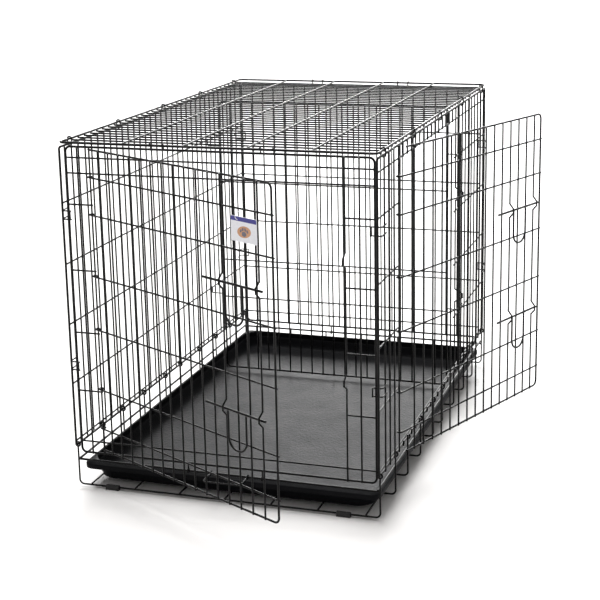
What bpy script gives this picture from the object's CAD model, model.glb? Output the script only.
import math

import bpy
from mathutils import Matrix, Vector


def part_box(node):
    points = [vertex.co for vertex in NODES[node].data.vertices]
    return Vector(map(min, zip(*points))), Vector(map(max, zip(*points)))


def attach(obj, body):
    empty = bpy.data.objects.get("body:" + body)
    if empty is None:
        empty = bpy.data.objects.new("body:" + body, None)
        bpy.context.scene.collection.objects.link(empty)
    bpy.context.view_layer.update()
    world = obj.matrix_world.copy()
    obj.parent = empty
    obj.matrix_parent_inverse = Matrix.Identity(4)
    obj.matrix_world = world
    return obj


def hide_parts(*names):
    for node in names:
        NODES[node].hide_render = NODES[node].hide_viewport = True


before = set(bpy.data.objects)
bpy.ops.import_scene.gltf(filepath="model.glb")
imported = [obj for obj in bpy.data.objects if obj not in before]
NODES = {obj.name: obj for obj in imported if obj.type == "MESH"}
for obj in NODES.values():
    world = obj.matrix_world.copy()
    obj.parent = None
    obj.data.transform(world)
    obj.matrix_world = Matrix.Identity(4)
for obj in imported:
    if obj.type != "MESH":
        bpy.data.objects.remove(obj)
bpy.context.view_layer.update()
SHARP = math.radians(40)
MM = 0.001


# ---- material building -------------------------------------------------------------


def new_material(name, **sockets):
    """A node material whose Principled shader has the given constant socket values."""
    mat = bpy.data.materials.new(name)
    mat.use_nodes = True
    shader = mat.node_tree.nodes["Principled BSDF"]
    for key, value in sockets.items():
        shader.inputs[key.replace("_", " ")].default_value = value
    return mat, mat.node_tree, shader


def noise(tree, scale, detail=4.0, roughness=0.55, stretch=(1, 1, 1)):
    """A noise texture in the object's own space, stretched along its axes."""
    coord = tree.nodes.new("ShaderNodeTexCoord")
    mapping = tree.nodes.new("ShaderNodeMapping")
    mapping.inputs["Scale"].default_value = stretch
    tex = tree.nodes.new("ShaderNodeTexNoise")
    tex.inputs["Scale"].default_value = scale
    tex.inputs["Detail"].default_value = detail
    tex.inputs["Roughness"].default_value = roughness
    tree.links.new(coord.outputs["Object"], mapping.inputs["Vector"])
    tree.links.new(mapping.outputs["Vector"], tex.inputs["Vector"])
    return tex


def ramp(tree, source, stops):
    """Maps a texture's value to the colours in stops, each a place and an RGB colour."""
    node = tree.nodes.new("ShaderNodeValToRGB")
    elements = node.color_ramp.elements
    while len(elements) < len(stops):
        elements.new(0.5)
    for element, (place, colour) in zip(elements, stops):
        element.position = place
        element.color = (*colour, 1)
    tree.links.new(source, node.inputs["Fac"])
    return node.outputs["Color"]


def span(tree, source, low, high):
    """Maps a texture's value from 0..1 to low..high."""
    node = tree.nodes.new("ShaderNodeMapRange")
    node.inputs["To Min"].default_value = low
    node.inputs["To Max"].default_value = high
    tree.links.new(source, node.inputs["Value"])
    return node.outputs["Result"]


def bump(tree, shader, source, strength, distance):
    """Adds fine relief to the shader from a texture's value."""
    node = tree.nodes.new("ShaderNodeBump")
    node.inputs["Strength"].default_value = strength
    node.inputs["Distance"].default_value = distance
    tree.links.new(source, node.inputs["Height"])
    tree.links.new(node.outputs["Normal"], shader.inputs["Normal"])


def coated_wire(name, dark, light):
    """Black coat on steel wire: slight orange peel and uneven gloss."""
    mat, tree, shader = new_material(name, Specular_IOR_Level=0.12, Coat_Weight=0.05,
                                     Coat_Roughness=0.12)
    shade = noise(tree, 55, 5)
    tree.links.new(ramp(tree, shade.outputs["Fac"], [(0.3, dark), (0.75, light)]),
                   shader.inputs["Base Color"])
    gloss = noise(tree, 140, 3)
    tree.links.new(span(tree, gloss.outputs["Fac"], 0.28, 0.5), shader.inputs["Roughness"])
    peel = noise(tree, 900, 2)
    bump(tree, shader, peel.outputs["Fac"], 0.25, 0.0002)
    return mat


def moulded_tray(name):
    """Black moulded plastic with a pebbled grain and faint flow marks."""
    mat, tree, shader = new_material(name, Specular_IOR_Level=0.08)
    flow = noise(tree, 5, 5, stretch=(1, 0.35, 1))
    tree.links.new(ramp(tree, flow.outputs["Fac"], [(0.3, (0.0014, 0.0015, 0.002)),
                                                    (0.75, (0.0045, 0.0047, 0.006))]),
                   shader.inputs["Base Color"])
    gloss = noise(tree, 16, 4)
    tree.links.new(span(tree, gloss.outputs["Fac"], 0.5, 0.64), shader.inputs["Roughness"])
    grain = noise(tree, 170, 3)
    bump(tree, shader, grain.outputs["Fac"], 0.5, 0.002)
    return mat


def foot_rubber(name):
    """Matt black rubber with a fine uneven skin."""
    mat, tree, shader = new_material(name)
    shade = noise(tree, 120, 4)
    tree.links.new(ramp(tree, shade.outputs["Fac"], [(0.3, (0.012, 0.012, 0.012)),
                                                     (0.8, (0.03, 0.03, 0.03))]),
                   shader.inputs["Base Color"])
    tree.links.new(span(tree, shade.outputs["Fac"], 0.7, 0.9), shader.inputs["Roughness"])
    bump(tree, shader, shade.outputs["Fac"], 0.3, 0.0004)
    return mat


def printed_card(name, dark, light):
    """Matt ink on card, with the fibres showing faintly."""
    mat, tree, shader = new_material(name)
    fibre = noise(tree, 350, 5)
    tree.links.new(ramp(tree, fibre.outputs["Fac"], [(0.2, dark), (0.8, light)]),
                   shader.inputs["Base Color"])
    tree.links.new(span(tree, fibre.outputs["Fac"], 0.45, 0.65), shader.inputs["Roughness"])
    bump(tree, shader, fibre.outputs["Fac"], 0.15, 0.0002)
    return mat


def assign(material, name):
    """Gives a CAD node its material, and shades its round faces smooth and its ends sharp."""
    node = NODES[name]
    for slot in node.material_slots:
        slot.material = material
    for face in node.data.polygons:
        face.use_smooth = True
    node.data.set_sharp_from_angle(angle=SHARP)


WIRE = coated_wire("black_wire", (0.001, 0.001, 0.0011), (0.004, 0.004, 0.0044))
ROD = coated_wire("black_rod", (0.003, 0.003, 0.0032), (0.008, 0.008, 0.009))
TRAY = moulded_tray("tray_plastic")
RUBBER = foot_rubber("foot_rubber")
CARD = printed_card("card_paper", (0.74, 0.75, 0.8), (0.88, 0.88, 0.92))
BAND = printed_card("card_band", (0.03, 0.03, 0.2), (0.055, 0.05, 0.3))
PATCH = printed_card("card_patch", (0.5, 0.24, 0.12), (0.66, 0.36, 0.2))
MARK = printed_card("card_mark", (0.1, 0.1, 0.13), (0.2, 0.19, 0.24))
FITS = {"front_feet": RUBBER, "rear_feet": RUBBER, "card_tie": CARD}
for node_name in NODES:
    if node_name not in ("tray", "hang_card"):
        is_rod = node_name.endswith(("_bolt", "_handle"))
        assign(FITS.get(node_name, ROD if is_rod else WIRE), node_name)

# ---- tray --------------------------------------------------------------------------

# The wall's section from the flat of the floor up, over the rim and down to the underside:
# inset from the tray's outline, inset of the corner's centre and height, all in mm
TRAY_SECTION = [
    (44, 60, 3.0), (36, 60, 3.2), (30.5, 60, 4.8), (26.6, 60, 8.2), (23.4, 60, 13.0),
    (21.3, 60, 17.5), (16.6, 60, 27.4), (15.3, 60, 28.6), (14.1, 60, 29.0),
    (13.3, 60, 29.6), (13.0, 60, 31.0), (12.9, 60, 41.2), (12.5, 58, 42.5),
    (11.6, 40, 43.0), (10.4, 24, 42.9), (9.2, 22, 42.2), (2.2, 22, 38.4),
    (0.7, 22, 37.4), (0.1, 22, 36.2), (0, 22, 34.6), (0, 22, 28.4), (0.3, 22, 27.4),
    (0.9, 22, 27.0), (1.7, 22, 27.0), (2.2, 22, 27.4), (2.5, 22, 28.4), (2.5, 22, 34.8),
    (3.0, 23, 35.7), (4.0, 25, 36.0), (8.8, 56, 36.0), (9.7, 60, 35.6),
    (10.0, 60, 34.6), (10.0, 60, 28.0), (10.5, 60, 26.9), (11.6, 60, 26.5),
    (13.0, 60, 26.2), (13.7, 60, 25.2), (23.3, 60, 2.0), (24.0, 60, 0.6), (25.6, 60, 0),
    (44, 60, 0),
]
CORNER_STEPS = 12


def rounded_ring(low, high, inset, corner, height):
    """Points of a rounded rectangle inside the box low..high, at a height above its floor."""
    radius = (corner - inset) * MM
    ring = []
    for k, (sx, sy) in enumerate(((1, -1), (1, 1), (-1, 1), (-1, -1))):
        cx = (high if sx > 0 else low)[0] - sx * corner * MM
        cy = (high if sy > 0 else low)[1] - sy * corner * MM
        for i in range(CORNER_STEPS + 1):
            turn = math.radians(90 * (k - 1) + 90 * i / CORNER_STEPS)
            ring.append((cx + radius * math.cos(turn), cy + radius * math.sin(turn),
                         low[2] + height * MM))
    return ring


def new_piece(name, verts, faces, material, body):
    """A mesh object that rides on a body and takes its finish from a material slot."""
    mesh = bpy.data.meshes.new(name)
    mesh.from_pydata(verts, [], faces)
    mesh.materials.append(material)
    mesh.shade_smooth()
    piece = bpy.data.objects.new(name, mesh)
    bpy.context.scene.collection.objects.link(piece)
    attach(piece, body)
    return piece


def build_tray():
    low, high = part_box("tray")
    rings = [rounded_ring(low, high, *place) for place in TRAY_SECTION]
    count = len(rings[0])
    verts = [point for ring in rings for point in ring]
    faces = [tuple(range(count)),
             tuple(reversed(range(len(verts) - count, len(verts))))]
    for k in range(len(rings) - 1):
        for i in range(count):
            j = (i + 1) % count
            faces.append((k * count + j, k * count + i, (k + 1) * count + i,
                          (k + 1) * count + j))
    tray = new_piece("moulded_tray", verts, faces, TRAY, "slide_tray")
    tray.modifiers.new("even shading", "WEIGHTED_NORMAL").keep_sharp = True
    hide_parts("tray")


build_tray()

# ---- hang card ---------------------------------------------------------------------

# All in mm. The card's corner is measured from the front door's hinge, along the door.
CARD_W, CARD_H, CARD_T = 72, 48, 1
DOOR_OPEN = math.radians(-28)
HINGE = Vector((-278, -530.9, 0))
CARD_CORNER = Vector((456, -12.4, 634))
INK = 0.12


def on_door(u, v, w):
    """Where a point of the card, in mm from its lower left outer corner, is in metres."""
    local = CARD_CORNER + Vector((u, w, v))
    return (Matrix.Rotation(DOOR_OPEN, 4, "Z") @ local + HINGE) * MM


def flat_shape(name, outline, lift, thick, material):
    """A thin plate with the given outline, lift above the card's face."""
    front = [on_door(u, v, -lift) for u, v in outline]
    back = [on_door(u, v, -lift + thick) for u, v in outline]
    n = len(outline)
    faces = [tuple(range(n)), tuple(reversed(range(n, 2 * n)))]
    faces += [(i, i + n, (i + 1) % n + n, (i + 1) % n) for i in range(n)]
    piece = new_piece(name, front + back, faces, material, "front_door_leaf")
    piece.data.set_sharp_from_angle(angle=SHARP)
    return piece


def oval(cu, cv, ru, rv, tilt=0.0, count=28):
    points = []
    for i in range(count):
        a = 2 * math.pi * i / count
        p = Matrix.Rotation(tilt, 2) @ Vector((ru * math.cos(a), rv * math.sin(a)))
        points.append((cu + p.x, cv + p.y))
    return points


def rounded_plate(width, height, radius):
    points = []
    for k, (cu, cv) in enumerate(((width - radius, radius), (width - radius, height - radius),
                                  (radius, height - radius), (radius, radius))):
        for i in range(7):
            a = math.radians(90 * (k - 1) + 15 * i)
            points.append((cu + radius * math.cos(a), cv + radius * math.sin(a)))
    return points


def build_card():
    card = flat_shape("hanging_card", rounded_plate(CARD_W, CARD_H, 3), 0, CARD_T, CARD)
    band = [(0.6, CARD_H - 9), (CARD_W - 0.6, CARD_H - 9), (CARD_W - 0.6, CARD_H - 2.4),
            (CARD_W - 2.4, CARD_H - 0.6), (2.4, CARD_H - 0.6), (0.6, CARD_H - 2.4)]
    flat_shape("card_band", band, INK, INK, BAND)
    flat_shape("card_patch", oval(37, 20, 19, 11, 0.12), INK, INK, PATCH)
    toes = [(-9, 5.4, 0.5), (-3.2, 8.8, 0.2), (3.4, 8.9, -0.2), (9.2, 5.8, -0.5)]
    flat_shape("card_paw_pad", oval(37, 16, 6.4, 4.8), 2 * INK, INK, MARK)
    for i, (du, dv, tilt) in enumerate(toes):
        flat_shape(f"card_paw_toe_{i}", oval(37 + du, 16 + dv, 2.3, 3.4, -tilt), 2 * INK, INK,
                   MARK)
    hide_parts("hang_card")


build_card()

# ---- camera, floor and light -------------------------------------------------------


def aim(obj, yaw, pitch, roll):
    """Points an object along yaw from +Y, pitch up and roll, all in radians."""
    forward = Vector((math.sin(yaw) * math.cos(pitch), math.cos(yaw) * math.cos(pitch),
                      math.sin(pitch)))
    level = Vector((math.cos(yaw), -math.sin(yaw), 0))
    top = level.cross(forward)
    right = level * math.cos(roll) + top * math.sin(roll)
    up = top * math.cos(roll) - level * math.sin(roll)
    obj.matrix_world = Matrix((right, up, -forward)).transposed().to_4x4()


FOCAL_MM = 86.956
SENSOR_MM = 36
SHIFT = (0.00364, -0.0847)
EYE = (1.0682, -3.2104, 1.2484)
YAW, PITCH, ROLL = -0.322, -0.237, -0.020
FLOOR_HALF = 40

camera_data = bpy.data.cameras.new("camera")
camera_data.sensor_width = SENSOR_MM
camera_data.lens = FOCAL_MM
camera_data.shift_x, camera_data.shift_y = SHIFT
camera_data.clip_end = 30
camera = bpy.data.objects.new("camera", camera_data)
bpy.context.scene.collection.objects.link(camera)
aim(camera, YAW, PITCH, ROLL)
camera.location = EYE
bpy.context.scene.camera = camera

floor_mesh = bpy.data.meshes.new("floor")
floor_mesh.from_pydata([(sx * FLOOR_HALF, sy * FLOOR_HALF, 0)
                        for sx, sy in ((-1, -1), (1, -1), (1, 1), (-1, 1))],
                       [], [(0, 1, 2, 3)])
floor = bpy.data.objects.new("floor", floor_mesh)
bpy.context.scene.collection.objects.link(floor)
floor_mat, _, floor_shader = new_material("floor", Roughness=0.6)
floor_shader.inputs["Base Color"].default_value = (0.87, 0.855, 0.845, 1)
floor_mesh.materials.append(floor_mat)

world = bpy.data.worlds.new("studio")
bpy.context.scene.world = world
world.use_nodes = True
world.node_tree.nodes["Background"].inputs["Color"].default_value = (1, 0.99, 0.98, 1)
world.node_tree.nodes["Background"].inputs["Strength"].default_value = 0.4
bpy.context.scene.view_settings.view_transform = "Standard"


def soft_light(name, toward, spread, power):
    """A broad, distant studio light that shines along toward."""
    data = bpy.data.lights.new(name, "SUN")
    data.angle = math.radians(spread)
    data.energy = power
    light = bpy.data.objects.new(name, data)
    bpy.context.scene.collection.objects.link(light)
    light.rotation_euler = Vector(toward).to_track_quat("-Z", "Y").to_euler()


soft_light("top", (0.22, -0.3, -1), 40, 3.1)
soft_light("back", (0.25, -1, -0.36), 20, 2.6)
